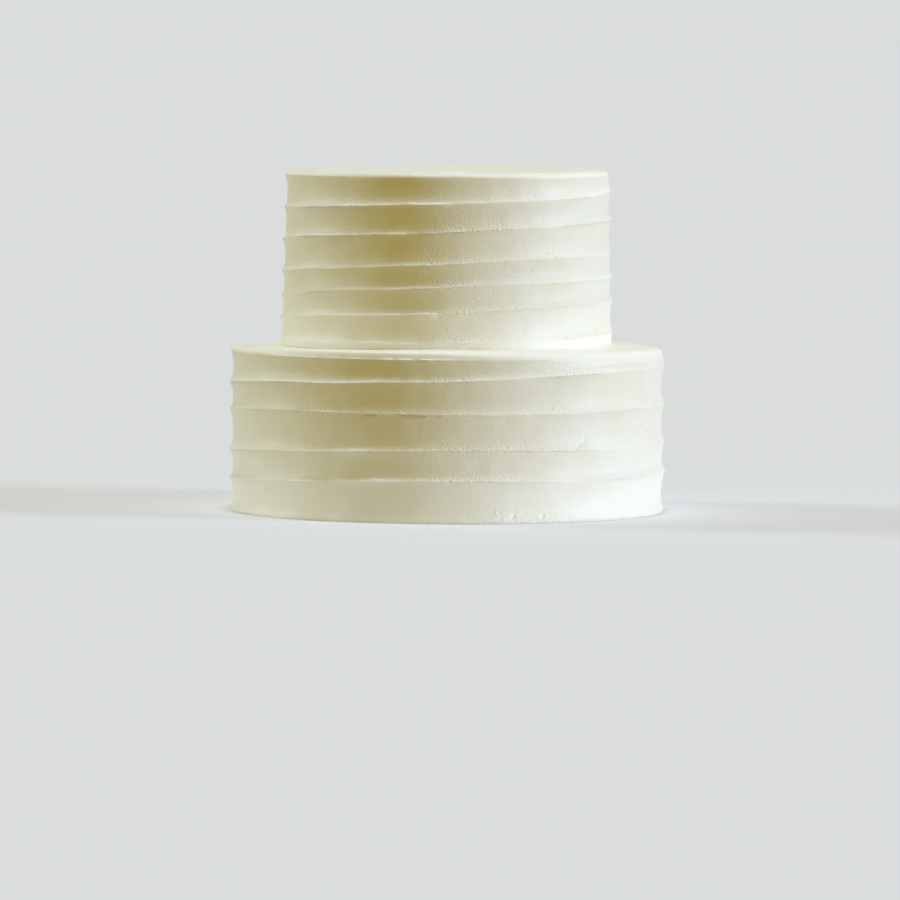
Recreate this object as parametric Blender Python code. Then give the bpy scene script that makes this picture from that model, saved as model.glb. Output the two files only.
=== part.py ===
"""Two-tier wedding cake in ivory buttercream, as one solid for each tier.

The side of each tier was finished on a turntable with the tip of a palette knife that climbed as the cake
turned. That leaves one ridge that winds round the tier as a spiral, with a hollow band between its turns.
Each tier is a mesh whose rows follow that spiral, so that the ridge stays sharp with few faces.

Metres, +Z up. The origin is the middle of the flat underside. The front of the cake faces -Y.
"""

import math

import bmesh
import bpy
import numpy as np

MM = 0.001

# Both tiers
TIER_GAP = 0.3 * MM  # clearance between the lower tier's top and the upper tier's underside
BAND_STEPS = (0.0, 0.1, 0.27, 0.5, 0.73, 0.9)  # where the rows lie in a band, from one ridge to the next
BAND_HOLLOW = 2.2  # exponent of a band's hollow: 1 is a straight V, 2 a parabola
CUSP = 0.45  # the part of the relief that rises only near the ridge
CUSP_REACH = 1.6 * MM  # and how far from the ridge it falls to about a third
# The parts of a turn where the ridge's height is given: right, right front, front, left front and left
MEASURED_AT = (0.0, 0.125, 0.25, 0.375, 0.5)
RIDGE_SMOOTHING = 0.14  # turns over which the hand's changes of pace are softened
SAMPLES_PER_TURN = 96
SNAP = 0.35 * MM  # a row this near the top or foot of the wall joins it, which leaves no slivers
FOOT_FLARE_HEIGHT = 3.0 * MM  # over this height the icing spreads out at the foot
EDGE_FADE = 4.0 * MM  # the ridge sinks into the rim and the foot over this distance
EDGE_STAND = 0.5  # and ends at this share of its relief
RELIEF_SWAY = 0.3  # share by which the ridge's relief varies along the spiral
OUT_OF_ROUND = 0.3 * MM
SMOOTH_ANGLE = math.radians(50)  # edges sharper than this stay crisp

# Lower tier, a 20 cm cake with its icing
LOWER_RADIUS = 106.9 * MM  # at the deepest part of the bands
LOWER_HEIGHT = 84.0 * MM
LOWER_WALL_HEIGHT = 80.0 * MM  # up to the shoulder line
LOWER_LEDGE_DROP = 1.3 * MM  # the ledge falls this much towards its edge at the front
LOWER_BACK_DROP = 1.5 * MM  # and this much more at the back
LOWER_LEDGE_INNER = 84.0 * MM  # radius where the ledge starts to fall
LOWER_SHOULDER_WIDTH = 3.8 * MM  # the bevel between ledge and wall, at the front
LOWER_RELIEF = 1.7 * MM  # how far the ridge stands out of the bands
LOWER_FOOT_FLARE = 0.4 * MM
LOWER_COLUMNS = 80
# Height of the ridge over the tier's underside in mm, one row for each turn of the spiral from the top down, at
# the places in MEASURED_AT. A height past the rim or foot only sets where the ridge runs out.
LOWER_RIDGE = (
    (97.0, 95.0, 93.0, 91.0, 89.0),
    (84.0, 82.6, 81.0, 79.6, 78.0),
    (72.8, 72.8, 69.0, 67.5, 64.2),
    (54.0, 53.6, 52.2, 53.4, 50.2),
    (35.8, 34.9, 36.2, 33.6, 30.2),
    (20.8, 20.0, 21.2, 18.8, 15.9),
    (1.0, 0.8, 0.5, 0.2, 0.0),
    (-15.0, -16.5, -18.0, -20.0, -22.0),
)

# Upper tier, a 15 cm cake with its icing
UPPER_TOP_RADIUS = 80.0 * MM
UPPER_FOOT_RADIUS = 81.8 * MM
UPPER_TO_LEFT = 0.3 * MM  # how far the tier stands left of the lower one's middle
UPPER_HEIGHT = 86.6 * MM
UPPER_RIM_ROUNDING = 2.5 * MM  # height of the rounded rim
UPPER_RIM_WIDTH = 5.0 * MM
UPPER_RIM_SAG = 0.85 * MM  # the rim's mean height below the top's middle
UPPER_RIM_TILT = 0.35 * MM  # and how much lower still it is on the left
UPPER_DOME = 0.35 * MM  # how far the top's middle stands over its edge
TOP_UNEVENNESS = 0.1 * MM
UPPER_RELIEF = 1.4 * MM
UPPER_FOOT_FLARE = 1.5 * MM
UPPER_COLUMNS = 64
UPPER_RIDGE = (
    (101.0, 99.5, 98.0, 96.0, 94.0),
    (88.0, 87.0, 86.0, 84.5, 82.6),
    (77.0, 72.8, 70.6, 68.9, 66.8),
    (62.1, 60.2, 56.7, 54.7, 51.0),
    (44.6, 44.5, 41.4, 38.2, 34.8),
    (34.0, 32.3, 29.9, 27.2, 22.0),
    (21.6, 20.6, 17.1, 14.9, 11.5),
    (6.0, 4.4, 2.6, 1.4, 0.4),
    (-9.0, -10.5, -12.0, -14.0, -16.0),
)

BUTTERCREAM = (0.875, 0.831, 0.665, 1.0)  # linear ivory
BUTTERCREAM_ROUGHNESS = 0.48


def clear_scene():
    for obj in list(bpy.data.objects):
        bpy.data.objects.remove(obj)


def buttercream(name):
    """Whipped butter and sugar: a pale ivory fat with a satin surface."""
    material = bpy.data.materials.new(name)
    material.use_nodes = True
    shader = material.node_tree.nodes["Principled BSDF"]
    shader.inputs["Base Color"].default_value = BUTTERCREAM
    shader.inputs["Roughness"].default_value = BUTTERCREAM_ROUGHNESS
    shader.inputs["Metallic"].default_value = 0.0
    return material


def ridge_line(heights):
    """height(turns) in metres: straight runs between the measured places, softened by a sliding average."""
    turns = [turn + share for turn in range(len(heights)) for share in MEASURED_AT]
    fine = np.arange(0.0, turns[-1], 1.0 / SAMPLES_PER_TURN)
    line = np.interp(fine, turns, [height * MM for turn in heights for height in turn])
    width = int(RIDGE_SMOOTHING * SAMPLES_PER_TURN)
    window = np.hanning(width + 2)[1:-1]
    soft = np.convolve(np.pad(line, width, "edge"), window / window.sum(), "same")[width:-width]
    return lambda turn: float(np.interp(turn, fine, soft))


def hand_sway(turn):
    """How the relief swells and sinks along the spiral, from three waves that never line up."""
    waves = ((1.31, 0.4), (2.83, 2.1), (5.37, 4.4))
    return RELIEF_SWAY * sum(math.sin(math.tau * pace * turn + start) for pace, start in waves) / 2.2


def out_of_round(angle, start_of_two, start_of_three):
    """How far the wall strays from a true circle, as waves with two and three crests round the tier."""
    waves = math.sin(start_of_two - 2 * angle) + 0.6 * math.sin(start_of_three - 3 * angle)
    return OUT_OF_ROUND * waves / 1.6


def smooth_step(share):
    """Eases from 0 to 1 as share does, and stays there."""
    held = min(max(share, 0.0), 1.0)
    return held * held * (3.0 - 2.0 * held)


def band_section(share, band):
    """1 on the ridges at either end of a band of that height, 0 in its hollow middle."""
    distance = min(share, 1.0 - share) * band
    return (1.0 - CUSP) * abs(2.0 * share - 1.0) ** BAND_HOLLOW + CUSP * math.exp(-distance / CUSP_REACH)


def wall_rows(heights, wall_height, columns, radius_at, relief):
    """Columns of wall points from the wall's top down, and the number of rows that make one turn.

    Row j of column i lies on the spiral after i / columns + whole bands + its share of a band. Rows above
    or below the wall are held at its edge. At the seam, row j of the last column meets the first column one
    turn further on.
    """
    height = ridge_line(heights)
    bands = len(heights) - 1
    grid = []
    for i in range(columns):
        start = i / columns
        angle = math.tau * start
        column = []
        for band in range(bands):
            above = band + start
            for share in BAND_STEPS:
                turn = above + share
                z = height(above) + (height(above + 1.0) - height(above)) * share
                z = min(max(z, 0.0), wall_height)
                if z < SNAP:
                    z = 0.0
                if z > wall_height - SNAP:
                    z = wall_height
                clear = smooth_step(min(z, wall_height - z) / EDGE_FADE)
                section = band_section(share, height(above) - height(above + 1.0))
                stand = EDGE_STAND + (section - EDGE_STAND) * clear
                radius = radius_at(z, angle) + relief * (1.0 + hand_sway(turn)) * stand
                column.append((radius, z))
        grid.append(column)
    return grid, len(BAND_STEPS)


def add_solid(name, columns, grid, per_turn, crown, base_z, material):
    """Joins the wall's rows into one closed mesh, with crown above it and a flat face below.

    crown is a list of functions of (wall radius at the top, angle), each of which gives (radius, height) of
    one ring, from the wall's edge inwards. One face closes the last ring.
    """
    mesh = bmesh.new()

    def point(radius, angle, z):
        return mesh.verts.new((radius * math.cos(angle), -radius * math.sin(angle), base_z + z))

    angles = [math.tau * i / columns for i in range(columns)]
    walls = []
    for angle, column in zip(angles, grid):
        ids = []
        edge = column[0][1]
        foot = column[-1][1]
        for row, (radius, z) in enumerate(column):
            held_at_top = row > 0 and z == edge and column[row - 1][1] == edge
            held_at_foot = row > 0 and z == foot and column[row - 1][1] == foot
            ids.append(ids[-1] if held_at_top or held_at_foot else point(radius, angle, z))
        walls.append(ids)
    last = len(walls[0]) - 1

    def face(*corners):
        distinct = list(dict.fromkeys(corners))
        if len(distinct) > 2:
            mesh.faces.new(distinct)

    for i in range(columns):
        seam = i == columns - 1
        here, there = walls[i], walls[(i + 1) % columns]
        shift = per_turn if seam else 0
        for row in range(last):
            near, far = min(row + shift, last), min(row + 1 + shift, last)
            face(here[row], here[row + 1], there[far], there[near])

    rings = [[ids[0] for ids in walls]]
    for ring in crown:
        profile = [ring(column[0][0], angle) for angle, column in zip(angles, grid)]
        rings.append([point(radius, angle, z) for angle, (radius, z) in zip(angles, profile)])
    for outer, inner in zip(rings, rings[1:]):
        for i in range(columns):
            j = (i + 1) % columns
            face(outer[i], outer[j], inner[j], inner[i])
    mesh.faces.new(rings[-1])
    mesh.faces.new([ids[-1] for ids in walls])
    bmesh.ops.recalc_face_normals(mesh, faces=mesh.faces)

    data = bpy.data.meshes.new(name)
    mesh.to_mesh(data)
    mesh.free()
    data.materials.append(material)
    data.shade_smooth()
    data.set_sharp_from_angle(angle=SMOOTH_ANGLE)
    obj = bpy.data.objects.new(name, data)
    bpy.context.scene.collection.objects.link(obj)
    return obj


def lower_tier(material):
    def radius_at(z, angle):
        flare = LOWER_FOOT_FLARE * math.exp(-z / FOOT_FLARE_HEIGHT)
        return LOWER_RADIUS + out_of_round(angle, 0.7, 2.3) + flare

    def edge(angle):
        """Width of the bevel and height of the ledge's edge, which falls towards the back."""
        backward = 0.5 - 0.5 * math.sin(angle)
        drop = LOWER_LEDGE_DROP + LOWER_BACK_DROP * backward
        return LOWER_SHOULDER_WIDTH * (1.0 - 0.3 * backward), LOWER_HEIGHT - drop

    def shoulder(share):
        """A bevel with a slight belly from the wall's top edge, at share 0, to the ledge, at share 1."""
        def ring(radius, angle):
            width, height = edge(angle)
            belly = 0.12 * math.sin(math.pi * share)
            climb = height - LOWER_WALL_HEIGHT
            return radius - width * (share + 0.4 * belly), LOWER_WALL_HEIGHT + climb * (share + belly)
        return ring

    def ledge(share):
        """From the bevel, at share 0, in to where the ledge is flat, at share 1, as a quarter sine."""
        def ring(radius, angle):
            width, height = edge(angle)
            at = radius - width + (LOWER_LEDGE_INNER - radius + width) * share
            return at, height + (LOWER_HEIGHT - height) * math.sin(share * math.pi / 2)
        return ring

    grid, per_turn = wall_rows(LOWER_RIDGE, LOWER_WALL_HEIGHT, LOWER_COLUMNS, radius_at, LOWER_RELIEF)
    crown = [shoulder(share) for share in (0.35, 0.7, 1.0)] + [ledge(share) for share in (0.25, 0.6, 1.0)]
    return add_solid("lower_tier", LOWER_COLUMNS, grid, per_turn, crown, 0.0, material)


def upper_tier(material):
    def radius_at(z, angle):
        share = z / UPPER_HEIGHT
        flare = UPPER_FOOT_FLARE * math.exp(-z / FOOT_FLARE_HEIGHT)
        taper = UPPER_FOOT_RADIUS + (UPPER_TOP_RADIUS - UPPER_FOOT_RADIUS) * share
        return taper + out_of_round(angle, 3.3, 3.3) - UPPER_TO_LEFT * math.cos(angle) + flare

    wall_height = UPPER_HEIGHT - UPPER_RIM_ROUNDING

    def sag(angle):
        return UPPER_RIM_SAG - UPPER_RIM_TILT * math.cos(angle)

    def rim(share):
        """A quarter of an ellipse from the wall's top edge, at share 0, to the top, at share 1."""
        bend = share * math.pi / 2
        return lambda radius, angle: (
            radius - UPPER_RIM_WIDTH * (1 - math.cos(bend)),
            wall_height + (UPPER_RIM_ROUNDING - sag(angle)) * math.sin(bend),
        )

    def top(share):
        """A ring of the top at a share of its radius. The top falls to the rim, and is slightly uneven."""
        dome = UPPER_DOME * (1.0 - share ** 2)
        return lambda radius, angle: (
            (radius - UPPER_RIM_WIDTH) * share,
            UPPER_HEIGHT + dome - sag(angle) * share ** 9
            + TOP_UNEVENNESS * math.sin(2 * angle + 0.5) * math.sin(math.pi * share),
        )

    grid, per_turn = wall_rows(UPPER_RIDGE, wall_height, UPPER_COLUMNS, radius_at, UPPER_RELIEF)
    crown = [rim(share) for share in (0.35, 0.7, 1.0)] + [top(share) for share in (0.86, 0.6, 0.25)]
    base_z = LOWER_HEIGHT + TIER_GAP
    return add_solid("upper_tier", UPPER_COLUMNS, grid, per_turn, crown, base_z, material)


clear_scene()
lower_tier(buttercream("lower_tier_buttercream"))
upper_tier(buttercream("upper_tier_buttercream"))
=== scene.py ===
"""Looks of a two-tier wedding cake in ivory buttercream, laid out as an add-on with one panel.

Each tier's icing is one surface worked out on a grid whose rows wind round the cake with the ridge
that the palette knife left. Metres, +Z up, the front of the cake faces -Y.
"""

import math

import bpy
import numpy as np
from mathutils import Matrix, Vector


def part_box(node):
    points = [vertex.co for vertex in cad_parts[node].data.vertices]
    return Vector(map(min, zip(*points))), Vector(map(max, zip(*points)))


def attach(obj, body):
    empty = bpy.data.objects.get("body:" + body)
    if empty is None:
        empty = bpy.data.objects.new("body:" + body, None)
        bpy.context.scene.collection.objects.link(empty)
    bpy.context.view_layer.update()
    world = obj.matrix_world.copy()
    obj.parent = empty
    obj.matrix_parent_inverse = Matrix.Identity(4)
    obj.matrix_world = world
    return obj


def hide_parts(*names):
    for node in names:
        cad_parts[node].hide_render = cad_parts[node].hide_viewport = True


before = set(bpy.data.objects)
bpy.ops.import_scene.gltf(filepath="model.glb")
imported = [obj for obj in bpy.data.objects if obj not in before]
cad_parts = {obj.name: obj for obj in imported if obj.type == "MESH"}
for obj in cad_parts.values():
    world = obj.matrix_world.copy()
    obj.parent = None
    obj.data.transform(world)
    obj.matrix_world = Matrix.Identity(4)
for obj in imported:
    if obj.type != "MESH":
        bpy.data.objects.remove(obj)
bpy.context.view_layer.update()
LOWER_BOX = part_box("lower_tier")
UPPER_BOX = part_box("upper_tier")

bl_info = {
    "name": "Tiered Buttercream Cake",
    "version": (1, 0, 0),
    "blender": (4, 5, 0),
    "location": "View3D > Sidebar > Cake",
    "description": "Dresses a two-tier wedding cake in ridged ivory buttercream",
    "category": "Mesh",
}

MM = 0.001
CAD_GAP = UPPER_BOX[0].z - LOWER_BOX[1].z
FLOOR_RADIUS = 80.0

# Mesh columns round each tier, and mesh rows in one band of it.
LOWER_GRID = (800, 17)
UPPER_GRID = (760, 15)

# The spiral is counted in turns, from the top down and clockwise seen from above, starting at the
# cake's right. The ridge's height is given where it passes the right, right front, front, left front
# and left.
STATIONS = (0.0, 0.125, 0.25, 0.375, 0.5)
# Height of the ridge over the tier's underside at those places in mm, one row a turn, from above the
# rim to below the foot. Rows past the rim and the foot only set where the ridge runs out.
LOWER_RIDGE = (
    (97.0, 95.0, 93.0, 91.0, 89.0),
    (84.0, 82.6, 81.0, 80.8, 80.8),
    (72.8, 72.8, 69.0, 67.5, 64.2),
    (54.0, 53.8, 53.0, 53.7, 50.2),
    (35.8, 34.9, 36.2, 33.6, 30.2),
    (20.8, 20.0, 21.2, 18.8, 15.9),
    (1.0, 0.8, 0.5, 0.2, 0.0),
    (-15.0, -16.5, -18.0, -20.0, -22.0),
)
UPPER_RIDGE = (
    (101.0, 99.5, 98.0, 96.0, 94.0),
    (88.0, 87.0, 86.0, 84.5, 82.6),
    (77.0, 72.8, 70.6, 68.9, 66.8),
    (62.1, 60.2, 56.7, 54.7, 51.0),
    (44.6, 44.5, 41.4, 38.2, 34.8),
    (34.0, 32.3, 29.9, 27.2, 22.0),
    (21.6, 20.6, 17.1, 14.9, 11.5),
    (6.0, 4.4, 2.6, 1.4, 0.4),
    (-9.0, -10.5, -12.0, -14.0, -16.0),
)

# Flaps of icing that stand off the ridge: middle and reach in turns, and how far out, in mm.
LOWER_FLAPS = (
    (4.335, 0.026, 1.35),
    (4.42, 0.065, 0.6),
    (5.315, 0.02, 1.4),
    (5.356, 0.018, 1.1),
    (5.45, 0.035, 0.6),
    (3.348, 0.024, 1.1),
    (3.12, 0.02, 0.2),
    (2.35, 0.022, 0.7),
    (2.147, 0.018, 0.35),
)
UPPER_FLAPS = (
    (3.365, 0.035, 1.1),
    (3.31, 0.02, 0.3),
    (2.33, 0.03, 0.6),
    (2.27, 0.02, 0.5),
    (5.28, 0.04, 0.45),
    (6.274, 0.013, 0.9),
    (6.33, 0.03, 0.6),
    (4.28, 0.025, 0.5),
    (4.14, 0.03, 0.15),
    (5.12, 0.02, 0.15),
)
# Where the ridge is torn, and where a band is filled with icing: middle and reach in turns, how much.
LOWER_TORN = ((3.276, 0.038, 0.9),)
LOWER_FILLED = ((1.03, 0.16, 0.8),)
# Soft dents: middle and reach in turns, share of the band and its spread, and depth in mm.
LOWER_DENTS = (
    (1.44, 0.085, 0.58, 0.08, 0.45),
    (5.13, 0.05, 0.35, 0.12, 0.25),
    (5.2, 0.03, 0.6, 0.15, 0.25),
)
# Scratches: part of a turn and height in mm of both ends, then width and depth in mm.
LOWER_SCRATCHES = (
    (0.138, 40.5, 0.151, 36.0, 0.55, 0.5),
    (0.118, 30.5, 0.126, 29.0, 0.5, 0.35),
    (0.200, 4.0, 0.204, 0.5, 0.6, 0.5),
    (0.178, 4.0, 0.176, 0.5, 0.5, 0.5),
    (0.157, 3.5, 0.154, 0.5, 0.6, 0.5),
)


def linear(code):
    """Linear red, green and blue of an sRGB colour written as six hex digits."""
    parts = [int(code[i:i + 2], 16) / 255 for i in (0, 2, 4)]
    return tuple(c / 12.92 if c <= 0.04045 else ((c + 0.055) / 1.055) ** 2.4 for c in parts)


def length(label, about, size):
    return bpy.props.FloatProperty(
        name=label, description=about, default=size, unit="LENGTH", subtype="DISTANCE", precision=4
    )


def colour(label, about, code):
    return bpy.props.FloatVectorProperty(
        name=label, description=about, default=linear(code), subtype="COLOR", size=3, min=0.0, max=1.0
    )


def number(label, about, value, low=0.0, high=100.0):
    return bpy.props.FloatProperty(name=label, description=about, default=value, min=low, max=high)


def light(label, about, strength):
    return bpy.props.FloatVectorProperty(
        name=label, description=about, default=strength, size=3, min=0.0
    )


def angle(label, about, degrees):
    return bpy.props.FloatProperty(
        name=label, description=about, default=math.radians(degrees), unit="ROTATION", subtype="ANGLE"
    )


class CakeLowerTier(bpy.types.PropertyGroup):
    """Sizes of the lower tier's icing."""

    radius: length("Radius", "Radius at the deepest part of the bands", 106.9 * MM)
    height: length("Height", "Height of the tier, which its ledge lies a little under", LOWER_BOX[1].z)
    wall: length("Wall", "Height of the wall, up to the shoulder's lip", 79.8 * MM)
    ledge_drop: length("Ledge drop", "How far under it the ledge's edge lies at the front", 0.8 * MM)
    back_drop: length("Back drop", "How much further the edge falls at the sides and back", 1.25 * MM)
    ledge_inner: length("Ledge inside", "Radius at which it ends, inside the upper tier", 81.0 * MM)
    shoulder: length("Shoulder", "Width of the shoulder at its narrowest, at the left front", 2.1 * MM)
    cove: length("Cove", "How high the ledge's icing turns up against the upper tier", 0.5 * MM)
    meets: length("Cove radius", "Radius at which it does", 83.4 * MM)
    relief: length("Relief", "How far the ridge stands out of the bands", 1.5 * MM)
    foot_flare: length("Foot flare", "How far the icing spreads at the foot", 0.4 * MM)


class CakeUpperTier(bpy.types.PropertyGroup):
    """Sizes of the upper tier's icing."""

    top_radius: length("Top radius", "Radius at the top, at the deepest part of the bands", 80.0 * MM)
    foot_radius: length("Foot radius", "The same at the foot", 81.8 * MM)
    height: length("Height", "Height of the tier from its underside", UPPER_BOX[1].z - UPPER_BOX[0].z)
    sunk: length("Sunk", "How deep the tier's foot is sunk into the ledge's icing", 2.0 * MM)
    rim: length("Rim rounding", "Height of the rounded top edge", 3.6 * MM)
    rim_width: length("Rim width", "Width of the rounded top edge", 5.6 * MM)
    relief: length("Relief", "How far the ridge stands out of the bands", 1.25 * MM)
    foot_flare: length("Foot flare", "How far the icing spreads on the ledge", 0.3 * MM)


class CakeIcing(bpy.types.PropertyGroup):
    """Colour and finish of the buttercream."""

    ivory: colour("Ivory", "Colour of the whipped buttercream", "F8F5E8")
    rich: colour("Rich", "Colour where it is denser, with less air in it", "F5EFD8")
    roughness: number("Roughness", "How matt the icing is", 0.5, 0.0, 1.0)
    grain: length("Grain", "Width of the fine grain of whipped sugar", 1.6 * MM)
    streak: length("Streak", "Height of the streaks that the knife's edge leaves", 1.1 * MM)
    lip: length("Lip", "How far the thin lip stands off the ridge", 0.5 * MM)
    crumbs: bpy.props.IntProperty(
        name="Crumbs",
        description="Small raised crumbs and burst bubbles on each tier",
        default=700,
        min=0,
        max=2000,
    )


class CakeStage(bpy.types.PropertyGroup):
    """Floor, light and camera."""

    floor: colour("Floor", "Colour of the plain floor", "E5E4E2")
    bounce: length("Bounce", "Radius of the floor that throws light back on the cake", 154 * MM)
    glow: light("Surroundings", "Warm light from all round, linear", (0.325, 0.253, 0.038))
    key: light("Key light", "Broad light on the right, in watts per square metre", (1.81, 2.2, 3.1))
    fill: light("Fill light", "Broad light on the left", (0.96, 1.18, 1.45))
    top: light("Top light", "Soft light above", (1.14, 1.34, 1.8))
    distance: length("Camera distance", "From the cake's axis to the camera", 3.655)
    aside: length("Camera aside", "From the cake's axis to the camera, to the right", 1.65 * MM)
    eye: length("Camera height", "Over the cake's underside", 242.6 * MM)
    pitch: angle("Camera pitch", "How far the camera looks down", 3.33)
    roll: angle("Camera roll", "How far the camera leans to its left", 0.39)
    lens: number("Lens", "Focal length in millimetres on a 36 mm wide sensor", 292.4, 20.0, 600.0)


# Surfaces


def cloud(points, size, seed):
    """Soft random hills from -1 to 1: random heights at the corners of a lattice, eased between.

    Large primes mix a corner's three numbers into one, which picks its height from the list.
    """
    cells = np.asarray(points) / size
    low = np.floor(cells).astype(np.int64)
    share = cells - low
    share = share * share * (3.0 - 2.0 * share)
    heights = np.random.default_rng(seed).uniform(-1.0, 1.0, 4096)
    total = np.zeros(cells.shape[:-1])
    for corner in np.ndindex(2, 2, 2):
        at = low + corner
        pick = (at[..., 0] * 73856093) ^ (at[..., 1] * 19349663) ^ (at[..., 2] * 83492791)
        weight = np.where(corner, share, 1.0 - share).prod(axis=-1)
        total += weight * heights[pick & 4095]
    return total


def along(turn, size, seed):
    """The same for a place along the spiral, with size in turns."""
    turn = np.asarray(turn, float)
    return cloud(np.stack([turn, np.zeros_like(turn), np.zeros_like(turn)], axis=-1), size, seed)


def eased(share):
    """0 below 0, 1 above 1, and a soft S between."""
    held = np.clip(share, 0.0, 1.0)
    return held * held * (3.0 - 2.0 * held)


def swell(value, middle, spread):
    """1 at the middle, dying away as the exponential of minus the squared distance in spreads."""
    return np.exp(-(((value - middle) / spread) ** 2))


def near(turn, places):
    """Sum over places (middle, reach, size) on the spiral, in turns: size at a middle, and next to 0
    past its reach, as the exponential of minus the distance in reaches to the power 4."""
    total = 0.0 * turn
    for middle, reach, size in places:
        total += size * np.exp(-(((turn - middle) / reach) ** 4))
    return total


def round_points(radius, theta, z):
    """Points from their radius, angle and height, which are arrays or single numbers."""
    return np.stack(np.broadcast_arrays(radius * np.cos(theta), radius * np.sin(theta), z), axis=-1)


def out_of_round(theta, second, third):
    """How far a wall strays from a circle: waves of 0.3 mm in all, two and three times round."""
    return 0.3 * MM * (np.sin(2 * theta + second) + 0.6 * np.sin(3 * theta + third)) / 1.6


def ridge_line(rows, wobble, seed):
    """height(turn) of the ridge in metres: straight runs between the stations, softened over a
    seventh of a turn, with the small waver of a hand added."""
    per_turn = 720
    width = per_turn // 7
    turns = (np.arange(len(rows))[:, None] + np.array(STATIONS)).ravel()
    fine = np.arange(0.0, len(rows), 1.0 / per_turn)
    window = np.hanning(width)
    line = np.interp(fine, turns, np.array(rows).ravel() * MM)
    soft = np.convolve(np.pad(line, width, "edge"), window / window.sum(), "same")[width:-width]
    soft += wobble * (along(fine, 0.045, seed) + 0.5 * along(fine, 0.013, seed + 1))
    return lambda turn: np.interp(turn, fine, soft)


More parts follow.
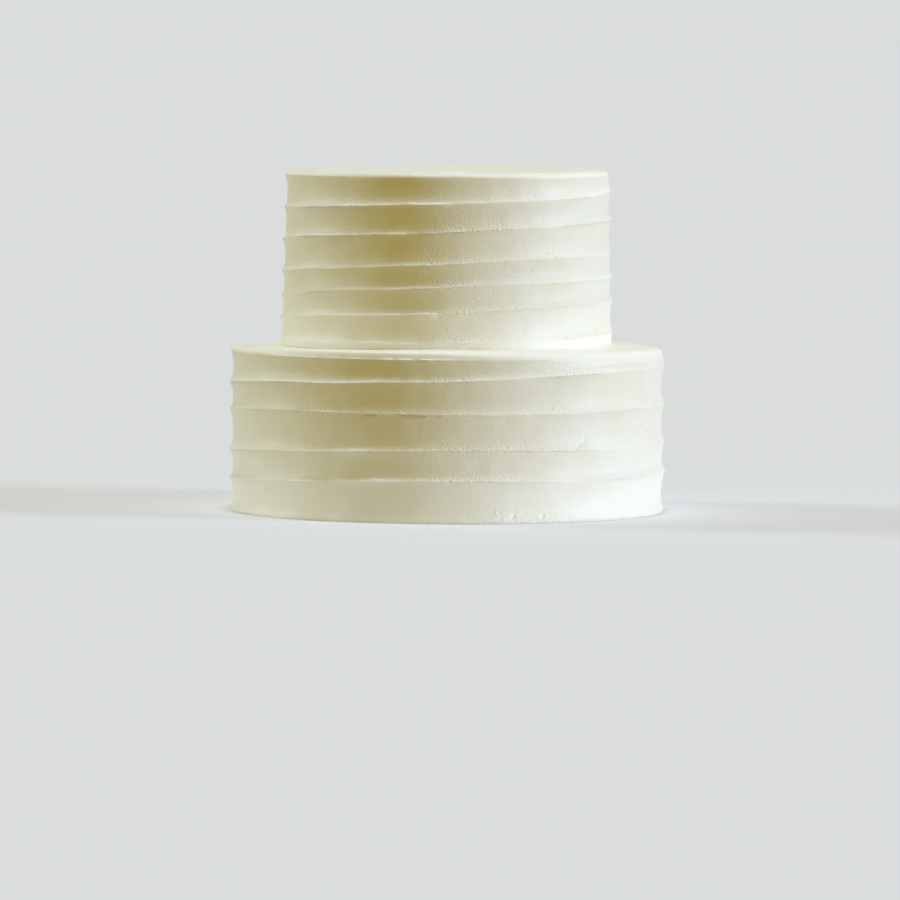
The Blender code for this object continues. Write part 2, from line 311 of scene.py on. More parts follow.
class Wall:
    """The ridged side of a tier, as radius and height for a place on the spiral.

    A place is given by the turn of the ridge above it and its share of the band below that ridge. The
    height is taken straight between the ridges above and below.

    The radius is the plain wall plus the relief times the band's section, which is 1 at both ridges.
    Most of the section is a shallow hollow: the distance from the band's middle to a power, skewed so
    that it is deepest past the middle, as the knife was tilted. The rest is a cusp that dies away
    from the ridge as an exponential of the distance. The section is evened out at the foot, and at
    the top too on the side where the shoulder is crisp. Then come the lip and flaps of the ridge,
    torn places under it, dents and scratches, and the knife's unevenness.

    flaps, torn and filled are places for near, and all five lists are as at the top of this file.
    """

    hollow = 2.2  # power of the distance from the band's middle
    skew = 1.3  # power of the share, over 1 where the hollow is deepest below the middle
    cusp = 0.4  # the cusp's part of the section where the ridge is crisp
    fade = 3.5 * MM  # height over which the section is evened out
    edge_stand = 0.5  # what it is evened out to
    sway = 0.22  # how much the relief comes and goes on its way round
    waver = 0.28 * MM  # how much the ridge strays up and down
    lip_fade = (0.5 * MM, 0.4 * MM)  # how far the thin lip reaches over and under the ridge
    flap_edge = 0.35 * MM  # height of a flap's steep upper edge
    flap_under = 2.4 * MM  # distance over which a flap dies away under the ridge
    torn_reach = (2.4 * MM, 0.7 * MM)  # how far the rough skin reaches over and under a ragged ridge
    hills = ((0.20 * MM, 24 * MM), (0.12 * MM, 7 * MM), (0.05 * MM, 2.4 * MM))  # height and width
    streaks = (0.04 * MM, 1.3 * MM)  # the same for the knife's streaks
    streak_length = 28  # times their width

    def __init__(
        self, rows, lift, top, plain, relief, lip, seed,
        flaps=(), torn=(), filled=(), dents=(), scratches=(),
    ):
        self.turns = len(rows)
        self.top = top
        self.plain = plain
        self.relief = relief
        self.lip = lip
        self.seed = seed
        self.flaps = flaps
        self.torn = torn
        self.filled = filled
        self.dents = dents
        self.scratches = scratches
        line = ridge_line(rows, self.waver, seed)
        self.ridge = lambda turn: line(turn) + lift

    def height(self, turn, share):
        above, below = self.ridge(turn), self.ridge(turn + 1.0)
        return above + (below - above) * share

    def nearest(self, turn, share):
        """The nearest ridge, whether it is the one below, and the distance to it."""
        band = self.ridge(turn) - self.ridge(turn + 1.0)
        below = share > 0.5
        distance = np.where(below, (1.0 - share) * band, share * band)
        return np.where(below, turn + 1.0, turn), below, distance

    def ragged(self, turn):
        """How ragged the ridge's edge is, from 0 to 1: in patches, and always where it has a flap."""
        patches = eased(0.35 + 1.3 * along(turn, 0.05, self.seed + 12))
        return np.clip(patches + near(turn, self.flaps), 0.0, 1.0)

    def crisp(self, turn):
        """How crisp the ridge is: smoothed from the right to the front, and crisp at the left."""
        return np.clip(0.42 - 0.65 * np.cos(math.tau * turn), 0.0, 1.0)

    def lip_detail(self, nearest, below, distance):
        """A thin lip, which comes and goes and is chipped, and the flaps.

        The lip dies away as an exponential of the distance. A flap is a ragged strip over the ridge
        with a steep upper edge, and dies away softly under it.
        """
        size = 0.5 + 0.7 * along(nearest, 0.07, self.seed + 2)
        size += 0.45 * along(nearest, 0.02, self.seed + 3) + 0.3 * along(nearest, 0.006, self.seed + 4)
        size = np.clip(size, 0.0, 1.6) * self.crisp(nearest)
        chipped = eased((along(nearest, 0.009, self.seed + 6) - 0.45) / 0.25)
        thin = self.lip * size * (1.0 - chipped) * np.exp(-distance / np.where(below, *self.lip_fade))
        width = (0.75 + 0.35 * along(nearest, 0.011, self.seed + 5)) * MM
        strip = np.clip((width - distance) / self.flap_edge, 0.0, 1.0)
        stands = near(nearest, self.flaps) * (0.85 + 0.4 * along(nearest, 0.019, self.seed + 15)) * MM
        section = np.where(below, strip, swell(distance, 0.0, self.flap_under))
        return thin + np.clip(stands, 0.0, None) * section

    def torn_detail(self, nearest, below, distance):
        """A ragged groove close under the ridge, with a second lip under it."""
        ragged = near(nearest, self.torn) * eased(0.8 + 1.2 * along(nearest, 0.006, self.seed + 14))
        groove = 1.1 * MM * swell(distance, 0.7 * MM, 0.42 * MM)
        second = 0.5 * MM * swell(distance, 1.6 * MM, 0.45 * MM)
        return np.where(below, 0.0, ragged * (second - groove))

    def marks(self, turn, share, z):
        """Soft dents in a band, and scratches: grooves along straight lines on the rolled-out wall."""
        total = 0.0 * z
        for middle, reach, at, spread, depth in self.dents:
            total -= depth * MM * near(turn, ((middle, reach, 1.0),)) * swell(share, at, spread)
        around = (turn % 1.0) * math.tau * self.plain(z, 0.0)
        for turn_a, z_a, turn_b, z_b, width, depth in self.scratches:
            start = self.rolled_out(turn_a, z_a)
            run = self.rolled_out(turn_b, z_b) - start
            right, up = around - start[0], z - start[1]
            way = np.clip((right * run[0] + up * run[1]) / (run @ run), 0.0, 1.0)
            apart = np.hypot(right - way * run[0], up - way * run[1])
            total -= depth * MM * swell(apart, 0.0, width * MM)
        return total

    def rolled_out(self, turn, height):
        """A place on the wall rolled out flat, with its height given in mm: how far round, how high."""
        return np.array((turn * math.tau * self.plain(height * MM, 0.0), height * MM))

    def uneven(self, places, share):
        """Soft hills, and level streaks that are strongest in the middle of a band."""
        total = 0.0
        for step, (high, wide) in enumerate(self.hills):
            total += high * cloud(places, wide, self.seed + 9 + step)
        high, wide = self.streaks
        drawn_out = places / (self.streak_length, self.streak_length, 1.0)
        return total + high * cloud(drawn_out, wide, self.seed + 8) * np.sin(math.pi * share)

    def radius(self, turn, share, z, theta):
        nearest, below, distance = self.nearest(turn, share)
        crisp = self.crisp(nearest)
        filled = near(turn, self.filled)
        # A crisp ridge has its full cusp, which dies away in 1.5 mm over it and 2 mm under it.
        cusp = self.cusp * (0.45 + 0.55 * crisp)
        reach = np.where(below, 2.5 - crisp, 4.0 - 2.0 * crisp) * MM
        hollow = np.abs(2.0 * share ** self.skew - 1.0) ** self.hollow
        section = (1.0 - cusp) * hollow + cusp * np.exp(-distance / reach)
        section += (1.0 - section) * filled
        edge_stand = self.edge_stand + (1.0 - self.edge_stand) * filled
        near_top = shoulder_crisp(theta) * (1.0 - eased((self.top - z) / self.fade))
        clear = eased(z / self.fade) * (1.0 - near_top)
        sway = 1.0 + self.sway * along(turn + share, 0.21, self.seed + 7)
        stand = self.relief * sway * (edge_stand + (section - edge_stand) * clear)
        stand += clear * self.lip_detail(nearest, below, distance)
        stand += clear * (self.torn_detail(nearest, below, distance) + self.marks(turn, share, z))
        flat = self.plain(z, theta)
        return flat + stand + self.uneven(round_points(flat, theta, z), share)

    def roughness(self, turn, share):
        """How rough the skin is, from 0 to 1: most just over a ragged ridge, where the knife tore it."""
        nearest, below, distance = self.nearest(turn, share)
        return self.ragged(nearest) * np.exp(-distance / np.where(below, *self.torn_reach))


def band_shares(steps):
    """Where a band's rows lie: 0.25 mm or so from the ridge at first, then further and further apart."""
    half = (steps - 1) // 2 + 1
    growth = 1.42
    steps_out = (growth ** np.arange(half) - 1.0) / (growth ** (half - 1) - 1.0)
    return np.concatenate([0.5 * steps_out, 1.0 - 0.5 * steps_out[-2:0:-1]])


def wall_grid(wall, columns, steps):
    """A wall on a grid of columns by spiral rows.

    It gives radius, height, angle and roughness, the first and last row that count in each column,
    and the rows in one turn. Rows past the rim or the foot, or within a hair of it, are held there,
    and their share of the band is worked out again from that height.
    """
    hair = 0.12 * MM
    shares = band_shares(steps)
    start = np.arange(columns) / columns
    bands = np.arange(wall.turns - 1)
    turn = (start[:, None, None] + bands[None, :, None] + 0.0 * shares).reshape(columns, -1)
    share = np.tile(shares, (columns, len(bands)))
    z = np.clip(wall.height(turn, share), 0.0, wall.top)
    z = np.where(z < hair, 0.0, np.where(z > wall.top - hair, wall.top, z))
    above, below = wall.ridge(turn), wall.ridge(turn + 1.0)
    share = np.clip((above - z) / (above - below), 0.0, 1.0)
    theta = -math.tau * np.broadcast_to(start[:, None], turn.shape)
    radius = wall.radius(turn, share, z, theta)
    rough = wall.roughness(turn, share)
    first = (z >= wall.top).sum(axis=1) - 1
    last = z.shape[1] - (z <= 0.0).sum(axis=1)
    return radius, z, theta, rough, first, last, len(shares)


def closed_tier(name, wall, grid, crown, base):
    """One closed mesh: the wall, the crown's rings above it, and a pole in the middle at both ends.

    crown is a function of the wall's radius at its top and the angle, which gives the radius and
    height of each ring from the wall inwards. At the seam a row meets the row one turn further on.
    """
    radius, z, theta, rough, first, last, per_turn = wall_grid(wall, *grid)
    columns, rows = z.shape
    column = np.arange(columns)
    corner = column[:, None] * rows + np.clip(np.arange(rows)[None, :], first[:, None], last[:, None])
    beside = np.roll(corner, -1, axis=0)
    beside[-1] = corner[0][np.minimum(np.arange(rows) + per_turn, rows - 1)]
    sides = [corner[:, :-1], beside[:, :-1], beside[:, 1:], corner[:, 1:]]
    quads = [np.stack(sides, axis=-1).reshape(-1, 4)]

    edge = radius[column, first]
    round_angle = -math.tau * column / columns
    rings = [corner[:, 0]]
    points = [round_points(radius, theta, z).reshape(-1, 3)]
    count = len(points[0])
    for ring_radius, ring_z in crown(edge, round_angle):
        points.append(round_points(ring_radius, round_angle, ring_z))
        rings.append(count + column)
        count += columns
    for outer, inner in zip(rings, rings[1:]):
        quads.append(np.stack([outer, inner, np.roll(inner, -1), np.roll(outer, -1)], axis=-1))
    points.append(np.array([[0.0, 0.0, points[-1][:, 2].mean()], [0.0, 0.0, 0.0]]))
    innermost, foot = rings[-1], corner[:, -1]
    top_pole, foot_pole = np.full(columns, count), np.full(columns, count + 1)
    quads.append(np.stack([innermost, top_pole, top_pole, np.roll(innermost, -1)], axis=-1))
    quads.append(np.stack([foot, np.roll(foot, -1), foot_pole, foot_pole], axis=-1))
    places = np.concatenate(points) + (0.0, 0.0, base)
    roughness = np.concatenate([rough.ravel(), np.zeros(len(places) - rough.size)])
    return mesh_object(name, places, np.concatenate(quads), roughness)


def mesh_object(name, places, quads, roughness):
    """A smooth mesh of the quads' triangles, without those that have two corners in one point. The
    roughness of each point goes into an attribute that the buttercream reads."""
    triangles = np.concatenate([quads[:, [0, 1, 2]], quads[:, [0, 2, 3]]])
    a, b, c = triangles.T
    triangles = triangles[(a != b) & (b != c) & (c != a)]
    used, compact = np.unique(triangles, return_inverse=True)
    mesh = bpy.data.meshes.new(name)
    mesh.from_pydata(places[used].tolist(), [], compact.reshape(-1, 3).tolist())
    mesh.shade_smooth()
    rough = mesh.attributes.new("rough", "FLOAT", "POINT")
    rough.data.foreach_set("value", roughness[used].astype(np.float32))
    mesh.update()
    piece = bpy.data.objects.new(name, mesh)
    bpy.context.scene.collection.objects.link(piece)
    return piece


def shoulder_crisp(theta):
    """How crisp the shoulder is: 1 at the left front, 0.84 at the front, 0.15 at the left, 0 right."""
    return eased(0.75 - 1.9 * np.cos(theta)) * (1.0 - 0.85 * eased((-np.cos(theta) - 0.45) / 0.45))


def shoulder_round(theta):
    """0 from the front round to the left, and 1 at the right, where the shoulder is most rounded."""
    return eased(1.6 * np.cos(theta))


def shoulder_lip(theta, radius):
    """How far the shoulder's broken lip stands out: dashes, most at the left front, none at the right."""
    around = round_points(radius, theta, 0.0)
    size = 0.75 + 0.9 * cloud(around, 13 * MM, 31) + 0.55 * cloud(around, 3 * MM, 32)
    dashes = eased(0.7 + 1.6 * cloud(around, 5 * MM, 35))
    return 0.45 * MM * np.clip(size, 0.0, 2.0) * dashes * shoulder_crisp(theta)


def lower_wall(sizes, lip):
    def plain(z, theta):
        """A cylinder, a little out of round, that spreads at the foot.

        The spread is an exponential of the height. At the right there is a slight belly, and the top
        is rounded off. Elsewhere the shoulder's lip stands out at the top. The rounding and the lip
        are exponentials of the depth under the top.
        """
        from_top = z - sizes.wall
        brow = shoulder_lip(theta, sizes.radius) * np.exp(from_top / (0.4 * MM))
        belly = 0.55 * MM * eased(np.cos(theta)) * swell(z, 27 * MM, 15 * MM)
        rounded = 0.75 * MM * shoulder_round(theta) * np.exp(from_top / (2.3 * MM))
        flare = sizes.foot_flare * np.exp(-z / (3 * MM))
        return sizes.radius + out_of_round(theta, 0.7, 2.3) + brow + belly - rounded + flare

    return Wall(
        LOWER_RIDGE,
        lift=0.0,
        top=sizes.wall,
        plain=plain,
        relief=sizes.relief,
        lip=lip,
        seed=11,
        flaps=LOWER_FLAPS,
        torn=LOWER_TORN,
        filled=LOWER_FILLED,
        dents=LOWER_DENTS,
        scratches=LOWER_SCRATCHES,
    )


def lower_crown(sizes, rings_on_ledge=22):
    """The shoulder, then the ledge in to where the upper tier hides it.

    The shoulder leans over from the wall to the ledge. Its angle from upright grows from that of a
    fold to level, as a power of the way along it. At the front and left front it is narrow with a
    crisp fold, whose ragged lip dies away up the slope, and at the right it is wider and rounder. The
    ledge rises inwards as a quarter sine, with shallow sweeps of the knife on it. It lies lower at
    the sides and back, and turns up as an exponential of the distance where it meets the upper tier.
    """
    # Where the rings lie on the way up the shoulder.
    ways = np.array((0.0, 0.04, 0.09, 0.16, 0.26, 0.38, 0.5, 0.62, 0.74, 0.86, 1.0))
    lip_fade = 0.07  # part of that way over which the lip dies away
    edge_left = 0.45 * MM  # how much more the ledge's edge falls at the left
    flat_drop = 0.7 * MM  # how far under the tier's height the ledge's flat lies
    flat_left = 1.0 * MM  # and how much further at the left
    flat_sides = 0.3 * MM  # and at both sides
    sweep_stretch = 9  # how much longer than wide a sweep of the knife is

    def rings(edge, theta):
        made = []
        backward = 0.5 + 0.5 * np.sin(theta)
        left = eased(-np.cos(theta))
        back_drop = (sizes.back_drop + edge_left * left) * eased(backward / 0.6)
        edge_height = sizes.height - sizes.ledge_drop - back_drop
        level = sizes.height - flat_drop - flat_left * left - flat_sides * np.cos(theta) ** 2
        brow = shoulder_lip(theta, sizes.radius)
        edge = edge - brow
        around = round_points(edge, theta, 0.0)
        dents = 0.12 * MM * cloud(around, 5 * MM, 33) + 0.06 * MM * cloud(around, 1.8 * MM, 36)
        width = sizes.shoulder * (1.8 - 0.8 * shoulder_crisp(theta) + 0.6 * shoulder_round(theta))
        crisp = shoulder_crisp(theta)[:, None]
        fold = np.radians(1 + 17 * crisp + 17 * shoulder_round(theta)[:, None])
        slope = fold + (math.pi / 2 - fold) * (0.5 * ways[1:] + 0.5 * ways[:-1]) ** (1.4 + 3.2 * crisp)
        inwards = np.cumsum(np.sin(slope) * np.diff(ways), axis=1)
        upwards = np.cumsum(np.cos(slope) * np.diff(ways), axis=1)
        inwards, upwards = inwards / inwards[:, -1:], upwards / upwards[:, -1:]
        for step, way in enumerate(ways[1:]):
            at = edge - width * inwards[:, step] + brow * math.exp(-way / lip_fade)
            z = sizes.wall + (edge_height - sizes.wall) * upwards[:, step]
            made.append((at, z + dents * way))
        outer = edge - width
        for step in range(1, rings_on_ledge + 1):
            share = 1.0 - (1.0 - step / rings_on_ledge) ** 1.5
            at = outer + (sizes.ledge_inner - outer) * share
            rise = math.sin(min(1.0, share * 1.25) * math.pi / 2)
            swept = 0.13 * MM * cloud(round_points(at / sweep_stretch, theta, at), 2.6 * MM, 34)
            z = edge_height + (level - edge_height) * rise + dents * (1 - share) + swept
            made.append((at, z + sizes.cove * np.exp((sizes.meets - at) / (1.6 * MM))))
        return made

    return rings


def upper_base(sizes):
    """Height of the upper tier's foot, which is sunk into the ledge."""
    return LOWER_BOX[1].z - sizes.sunk


def upper_wall(sizes, lip):
    lift = CAD_GAP + sizes.sunk

    def plain(z, theta):
        """A slightly tapered cylinder, a little out of round and to the left.

        It spreads towards the ledge at the left, and a little all round close over it, both as an
        exponential of the height over the ledge.
        """
        taper = sizes.foot_radius + (sizes.top_radius - sizes.foot_radius) * z / sizes.height
        up = np.maximum(z - lift, 0.0)
        left = 1.1 * MM * eased(-np.cos(theta)) * np.exp(-up / (18 * MM)) - 0.3 * MM * np.cos(theta)
        flare = sizes.foot_flare * np.exp(-up / (2.2 * MM))
        return taper + out_of_round(theta, 3.3, 3.3) + left + flare

    return Wall(
        UPPER_RIDGE,
        lift=lift,
        top=sizes.height + lift - sizes.rim,
        plain=plain,
        relief=sizes.relief,
        lip=lip,
        seed=51,
        flaps=UPPER_FLAPS,
    )


def upper_crown(sizes, rings_on_top=26):
    """A quarter of an ellipse from the wall to the top, then the top as the knife swept it.

    The top falls a little to the rim, and more so on the left. It has a shallow spiral groove: a wave
    of the radius that shifts once round with the angle.
    """
    bends = np.radians((12, 26, 40, 54, 68, 80, 90))  # of the rings round the rim
    rise = 0.35 * MM  # of the middle of the top
    sweep_stretch = 8  # how much longer than wide a sweep of the knife is

    def rings(edge, theta):
        made = []
        top = sizes.height + CAD_GAP + sizes.sunk
        ragged = round_points(edge, theta, 0.0)
        uneven = 0.22 * MM * cloud(ragged, 11 * MM, 71) + 0.10 * MM * cloud(ragged, 3 * MM, 72)
        uneven -= (0.85 - 0.35 * np.cos(theta)) * MM
        for bend in bends:
            at = edge - sizes.rim_width * (1 - math.cos(bend))
            made.append((at, top + sizes.rim * (math.sin(bend) - 1.0) + uneven * math.sin(bend)))
        outer = edge - sizes.rim_width
        for share in np.linspace(1.0, 0.0, rings_on_top, endpoint=False)[1:]:
            at = outer * share
            swept = 0.14 * MM * cloud(round_points(at / sweep_stretch, theta, at), 3.4 * MM, 73)
            groove = 0.12 * MM * np.sin(math.tau * at / (11 * MM) + theta)
            rest = (swept + groove) * math.sin(math.pi * share)
            made.append((at, top + rest + rise * (1.0 - share ** 2) + uneven * share ** 9))
        return made

    return rings


def ball(across=8, rows=4):
    """A ball of radius 1 as points and quads: rings of points between two poles."""
    lat = np.linspace(-0.5, 0.5, rows + 1)[1:-1, None] * math.pi
    lon = np.linspace(0.0, math.tau, across, endpoint=False)
    rings = round_points(np.cos(lat), lon, np.sin(lat)).reshape(-1, 3)
    points = np.concatenate([[(0.0, 0.0, -1.0)], rings, [(0.0, 0.0, 1.0)]])
    i = np.arange(across)
    j = np.roll(i, -1)
    low = 1 + across * np.arange(rows - 2)[:, None]
    between = np.stack([low + i, low + j, low + across + j, low + across + i], axis=-1)
    last, pole = len(rings) - across + 1, np.full(across, len(points) - 1)
    bottom = np.stack([0 * i, 1 + j, 1 + i, 1 + i], axis=-1)
    top = np.stack([last + i, last + j, pole, pole], axis=-1)
    return points, np.concatenate([bottom, between.reshape(-1, 4), top])


def crumbs(name, wall, base, count, seed):
    """Small crumbs and burst bubbles on a wall, each a low blob with 48 triangles.

    A blob is a squashed ball whose long axis lies along the wall at a random slant. Many lie in the
    lower half of a band or on a ridge, as the knife drags them there, and there are more of them at
    the cake's right front.
    """
    right_front = 0.19  # as part of a turn
    on_ridge = 0.985  # as share of the band
    part = 0.35  # of the crumbs that is at the right front, and of those on a ridge
    size = 0.3 * MM  # most common half width
    flatness = 0.42  # height as part of that

    draw = np.random.default_rng(seed)
    turn = draw.uniform(1.0, wall.turns - 2.0, count)
    gathered = np.floor(turn) + draw.normal(right_front, 0.06, count)
    turn = np.where(draw.random(count) < part, gathered, turn)
    dragged = draw.random(count) < part
    share = np.where(dragged, draw.normal(on_ridge, 0.02, count), draw.beta(2.2, 1.6, count))
    share = np.clip(share, 0.02, 0.995)
    z = wall.height(turn, share)
    keep = (z > 4 * MM) & (z < wall.top - 3 * MM)
    turn, share, z = turn[keep], share[keep], z[keep]
    theta = -math.tau * (turn % 1.0)
    radius = wall.radius(turn, share, z, theta)
    out = round_points(1.0, theta, 0.0)
    side = round_points(1.0, theta + math.pi / 2, 0.0)
    up = np.broadcast_to((0.0, 0.0, 1.0), out.shape)
    slant = draw.normal(0.5, 0.6, len(z))[:, None]
    long_axis = side * np.cos(slant) + up * np.sin(slant)
    short_axis = -side * np.sin(slant) + up * np.cos(slant)
    long_size = draw.lognormal(0.0, 0.3, len(z))[:, None] * size
    stretch = draw.uniform(0.95, 1.7, len(z))[:, None]
    middle = out * (radius - 0.05 * long_size[:, 0])[:, None] + up * z[:, None]

    points, quads = ball()
    blobs = (
        middle[:, None, :]
        + long_axis[:, None, :] * points[None, :, :1] * (long_size * stretch)[:, None, :]
        + short_axis[:, None, :] * points[None, :, 1:2] * (long_size / stretch ** 0.5)[:, None, :]
        + out[:, None, :] * points[None, :, 2:] * (flatness * long_size / stretch ** 0.5)[:, None, :]
    )
    every = (quads[None, :, :] + (np.arange(len(z)) * len(points))[:, None, None]).reshape(-1, 4)
    return mesh_object(name, blobs.reshape(-1, 3) + (0.0, 0.0, base), every, np.zeros(blobs.size // 3))


# Materials


def add_node(tree, kind, inputs=None, **settings):
    """Adds a node with its settings. An input given as a socket is linked, and any other is set."""
    node = tree.nodes.new(kind)
    for key, value in settings.items():
        setattr(node, key, value)
    for key, value in (inputs or {}).items():
        if isinstance(value, bpy.types.NodeSocket):
            tree.links.new(value, node.inputs[key])
        else:
            node.inputs[key].default_value = value
    return node


def spread_buttercream(name, icing, depth=0.25):
    """Buttercream, whipped and spread with a palette knife.

    Butter whipped with icing sugar is an ivory fat full of fine air: a satin surface that light
    enters a little way, so hollows glow warm. Sugar and air give it a fine grain, the knife leaves
    level streaks, and bubbles burst into small pits. Over a ragged ridge its skin is torn. Real sugar
    is too fine to show, so the grain is drawn coarser. Depth is the share of light that enters.
    """
    material = bpy.data.materials.new(name)
    material.use_nodes = True
    tree = material.node_tree
    tree.nodes.clear()
    place = add_node(tree, "ShaderNodeTexCoord").outputs["Object"]
    level = add_node(tree, "ShaderNodeMapping", {"Vector": place, "Scale": (1 / 14, 1 / 14, 1.0)})
    streaks = add_node(tree, "ShaderNodeTexNoise", {
        "Vector": level.outputs["Vector"], "Scale": 1 / icing.streak, "Detail": 3.0,
    })
    grain = add_node(tree, "ShaderNodeTexNoise", {
        "Vector": place, "Scale": 1 / icing.grain, "Detail": 3.0, "Roughness": 0.6,
    })
    torn = add_node(tree, "ShaderNodeTexNoise", {
        "Vector": place, "Scale": 1 / (1.1 * MM), "Detail": 2.0,
    })
    patches = add_node(tree, "ShaderNodeTexNoise", {
        "Vector": place, "Scale": 1 / (26 * MM), "Detail": 2.0,
    })
    bubbles = add_node(tree, "ShaderNodeTexVoronoi", {"Vector": place, "Scale": 1 / (14 * MM)})
    rough = add_node(tree, "ShaderNodeAttribute", attribute_name="rough")

    dense = add_node(tree, "ShaderNodeMapRange", {
        "Value": patches.outputs["Fac"],
        "From Min": 0.35, "From Max": 0.7, "To Min": 0.0, "To Max": 0.55,
    })
    body = add_node(tree, "ShaderNodeMix", {
        "Factor": dense.outputs["Result"], 6: (*icing.ivory, 1.0), 7: (*icing.rich, 1.0),
    }, data_type="RGBA")
    satin = add_node(tree, "ShaderNodeMapRange", {
        "Value": streaks.outputs["Fac"], "From Min": 0.3, "From Max": 0.7,
        "To Min": icing.roughness - 0.06, "To Max": icing.roughness + 0.08,
    })
    crust = add_node(tree, "ShaderNodeMath", {
        0: torn.outputs["Fac"], 1: rough.outputs["Fac"],
    }, operation="MULTIPLY")
    pit = add_node(tree, "ShaderNodeMapRange", {
        "Value": bubbles.outputs["Distance"],
        "From Min": 0.02, "From Max": 0.05, "To Min": -1.0, "To Max": 0.0,
    })

    # Height, depth and strength of each bump, from the first to the last that lies over the others.
    bumps = (
        (streaks.outputs["Fac"], 0.07 * MM, 0.6),
        (grain.outputs["Fac"], 0.17 * MM, 0.9),
        (crust.outputs["Value"], 0.9 * MM, 1.0),
        (pit.outputs["Result"], 0.25 * MM, 0.5),
    )
    skin = {}
    for height, distance, strength in bumps:
        bump = add_node(tree, "ShaderNodeBump", {
            "Height": height, "Distance": distance, "Strength": strength, **skin,
        })
        skin = {"Normal": bump.outputs["Normal"]}
    shader = add_node(tree, "ShaderNodeBsdfPrincipled", {
        "Base Color": body.outputs[2],
        "Roughness": satin.outputs["Result"],
        "Metallic": 0.0,
        "IOR": 1.46,
        "Subsurface Weight": depth,
        "Subsurface Radius": (1.0, 0.75, 0.4),
        "Subsurface Scale": 2.5 * MM,
        **skin,
    })
    add_node(tree, "ShaderNodeOutputMaterial", {"Surface": shader.outputs["BSDF"]})
    return material


def seamless_paper(name, tone):
    """Matt seamless paper for the floor, as used under tabletop subjects."""
    material = bpy.data.materials.new(name)
    material.use_nodes = True
    shader = material.node_tree.nodes["Principled BSDF"]
    shader.inputs["Base Color"].default_value = (*tone, 1.0)
    shader.inputs["Roughness"].default_value = 1.0
    shader.inputs["Specular IOR Level"].default_value = 0.0
    return material


# Operators


class CAKE_OT_lower_tier(bpy.types.Operator):
    """Ices the lower tier: ridged wall, bevelled shoulder and ledge"""

    bl_idname = "cake.lower_tier"
    bl_label = "Lower tier"

    def execute(self, context):
        scene = context.scene
        wall = lower_wall(scene.cake_lower, scene.cake_icing.lip)
        piece = closed_tier("lower_tier_icing", wall, LOWER_GRID, lower_crown(scene.cake_lower), 0.0)
        piece.data.materials.append(spread_buttercream("lower_tier_spread_buttercream", scene.cake_icing))
        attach(piece, "root")
        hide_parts("lower_tier")
        return {"FINISHED"}


class CAKE_OT_upper_tier(bpy.types.Operator):
    """Ices the upper tier: ridged wall, rounded rim and swept top"""

    bl_idname = "cake.upper_tier"
    bl_label = "Upper tier"

    def execute(self, context):
        scene = context.scene
        wall = upper_wall(scene.cake_upper, scene.cake_icing.lip)
        crown = upper_crown(scene.cake_upper)
        piece = closed_tier("upper_tier_icing", wall, UPPER_GRID, crown, upper_base(scene.cake_upper))
        piece.data.materials.append(spread_buttercream("upper_tier_spread_buttercream", scene.cake_icing))
        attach(piece, "root")
        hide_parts("upper_tier")
        return {"FINISHED"}


class CAKE_OT_crumbs(bpy.types.Operator):
    """Scatters the small crumbs and burst bubbles that the knife drags over both walls"""

    bl_idname = "cake.crumbs"
    bl_label = "Crumbs"

    def execute(self, context):
        scene = context.scene
        icing = scene.cake_icing
        tiers = (
            ("lower_tier", lower_wall(scene.cake_lower, icing.lip), 0.0, 101),
            ("upper_tier", upper_wall(scene.cake_upper, icing.lip), upper_base(scene.cake_upper), 102),
        )
        for tier, wall, base, seed in tiers:
            piece = crumbs(tier + "_crumbs", wall, base, icing.crumbs, seed)
            piece.data.materials.append(spread_buttercream(tier + "_buttercream_crumbs", icing, 0.0))
            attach(piece, "root")
        return {"FINISHED"}


def towards(azimuth, elevation):
    """Direction from the cake to a light: azimuth 0 is the front, and 90 the cake's right."""
    a, e = math.radians(azimuth), math.radians(elevation)
    return Vector((math.sin(a) * math.cos(e), -math.cos(a) * math.cos(e), math.sin(e)))


def soft_light(name, azimuth, elevation, strength, spread):
    """A broad light a long way off, as a large softbox gives: spread is its width as seen from the
    cake."""
    lamp = bpy.data.lights.new(name, "SUN")
    lamp.energy = max(strength)
    lamp.color = [part / max(strength) for part in strength]
    lamp.angle = math.radians(spread)
    obj = bpy.data.objects.new(name, lamp)
    obj.rotation_mode = "QUATERNION"
    obj.rotation_quaternion = towards(azimuth, elevation).to_track_quat("Z", "Y")
    bpy.context.scene.collection.objects.link(obj)


def floor_ring(name, inner, outer, material):
    """A flat ring of floor, or a disc where inner is 0, without thickness."""
    sides = 128
    i = np.arange(sides)
    j = np.roll(i, -1)
    circle = round_points(1.0, math.tau * i / sides, 0.0)
    faces = np.stack([i, sides + i, sides + j, j], axis=-1)
    floor = bpy.data.meshes.new(name)
    if inner:
        floor.from_pydata(np.concatenate([circle * inner, circle * outer]).tolist(), [], faces.tolist())
    else:
        floor.from_pydata((circle * outer).tolist(), [], [i.tolist()])
    floor.materials.append(material)
    obj = bpy.data.objects.new(name, floor)
    bpy.context.scene.collection.objects.link(obj)
    return obj


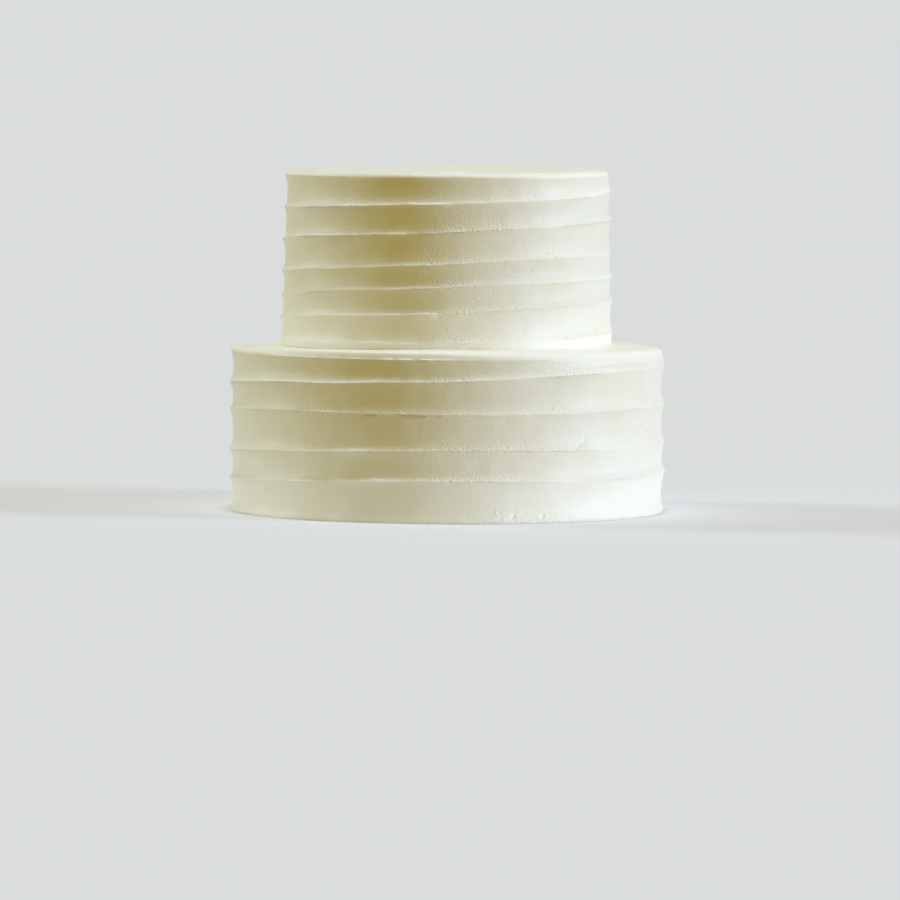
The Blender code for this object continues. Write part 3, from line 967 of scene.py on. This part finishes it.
class CAKE_OT_stage(bpy.types.Operator):
    """Lays the floor, hangs the lights and sets up the camera"""

    bl_idname = "cake.stage"
    bl_label = "Stage"

    def execute(self, context):
        scene = context.scene
        stage = scene.cake_stage
        scene.view_settings.view_transform = "Standard"

        paper = seamless_paper("seamless_paper", stage.floor)
        floor_ring("floor_middle", 0.0, stage.bounce, paper)
        floor_ring("floor", stage.bounce, FLOOR_RADIUS, paper).visible_diffuse = False

        # Name, azimuth, elevation, strength and width of each lamp, with angles in degrees.
        lamps = (
            ("key_light", 76, 10, stage.key, 22),
            ("fill_light", -105, 20, stage.fill, 22),
            ("top_light", 0, 88, stage.top, 15),
        )
        for lamp in lamps:
            soft_light(*lamp)
        # The backdrop is as bright as the floor, so that no horizon shows: the floor's colour times
        # the light that falls on it.
        falling = np.array(stage.glow)
        for _, _, elevation, strength, _ in lamps:
            falling += np.array(strength) * math.sin(math.radians(elevation)) / math.pi
        backdrop = falling * stage.floor

        world = bpy.data.worlds.new("surroundings")
        world.use_nodes = True
        tree = world.node_tree
        tree.nodes.clear()
        around = add_node(tree, "ShaderNodeBackground", {"Color": (*stage.glow, 1.0), "Strength": 1.0})
        seen = add_node(tree, "ShaderNodeBackground", {"Color": (*backdrop, 1.0), "Strength": 1.0})
        ray = add_node(tree, "ShaderNodeLightPath")
        mix = add_node(tree, "ShaderNodeMixShader", {
            0: ray.outputs["Is Camera Ray"], 1: around.outputs[0], 2: seen.outputs[0],
        })
        add_node(tree, "ShaderNodeOutputWorld", {"Surface": mix.outputs[0]})
        scene.world = world

        camera = bpy.data.objects.new("camera", bpy.data.cameras.new("camera"))
        camera.data.sensor_width = 36.0
        camera.data.lens = stage.lens
        camera.data.clip_end = 200.0
        camera.location = (stage.aside, -stage.distance, stage.eye)
        look = Matrix.Rotation(math.pi / 2 - stage.pitch, 3, "X") @ Matrix.Rotation(stage.roll, 3, "Z")
        camera.rotation_mode = "QUATERNION"
        camera.rotation_quaternion = look.to_quaternion()
        scene.collection.objects.link(camera)
        scene.camera = camera
        return {"FINISHED"}


class CAKE_PT_sidebar(bpy.types.Panel):
    """Sizes, colours and pieces of the cake"""

    bl_label = "Tiered Buttercream Cake"
    bl_space_type = "VIEW_3D"
    bl_region_type = "UI"
    bl_category = "Cake"

    def draw(self, context):
        for title, name in zip(("Lower tier", "Upper tier", "Icing", "Stage"), GROUPS):
            box = self.layout.box()
            box.label(text=title)
            settings = getattr(context.scene, name)
            for key in settings.__annotations__:
                box.prop(settings, key)
        for operator in OPERATORS:
            self.layout.operator(operator.bl_idname)


GROUPS = {
    "cake_lower": CakeLowerTier,
    "cake_upper": CakeUpperTier,
    "cake_icing": CakeIcing,
    "cake_stage": CakeStage,
}
OPERATORS = (CAKE_OT_lower_tier, CAKE_OT_upper_tier, CAKE_OT_crumbs, CAKE_OT_stage)


def register():
    for kind in (*GROUPS.values(), *OPERATORS, CAKE_PT_sidebar):
        bpy.utils.register_class(kind)
    for name, group in GROUPS.items():
        setattr(bpy.types.Scene, name, bpy.props.PointerProperty(type=group))


def unregister():
    for name in GROUPS:
        delattr(bpy.types.Scene, name)
    for kind in (CAKE_PT_sidebar, *OPERATORS, *GROUPS.values()):
        bpy.utils.unregister_class(kind)


def main():
    register()
    bpy.ops.cake.lower_tier()
    bpy.ops.cake.upper_tier()
    bpy.ops.cake.crumbs()
    bpy.ops.cake.stage()


if __name__ == "__main__":
    main()
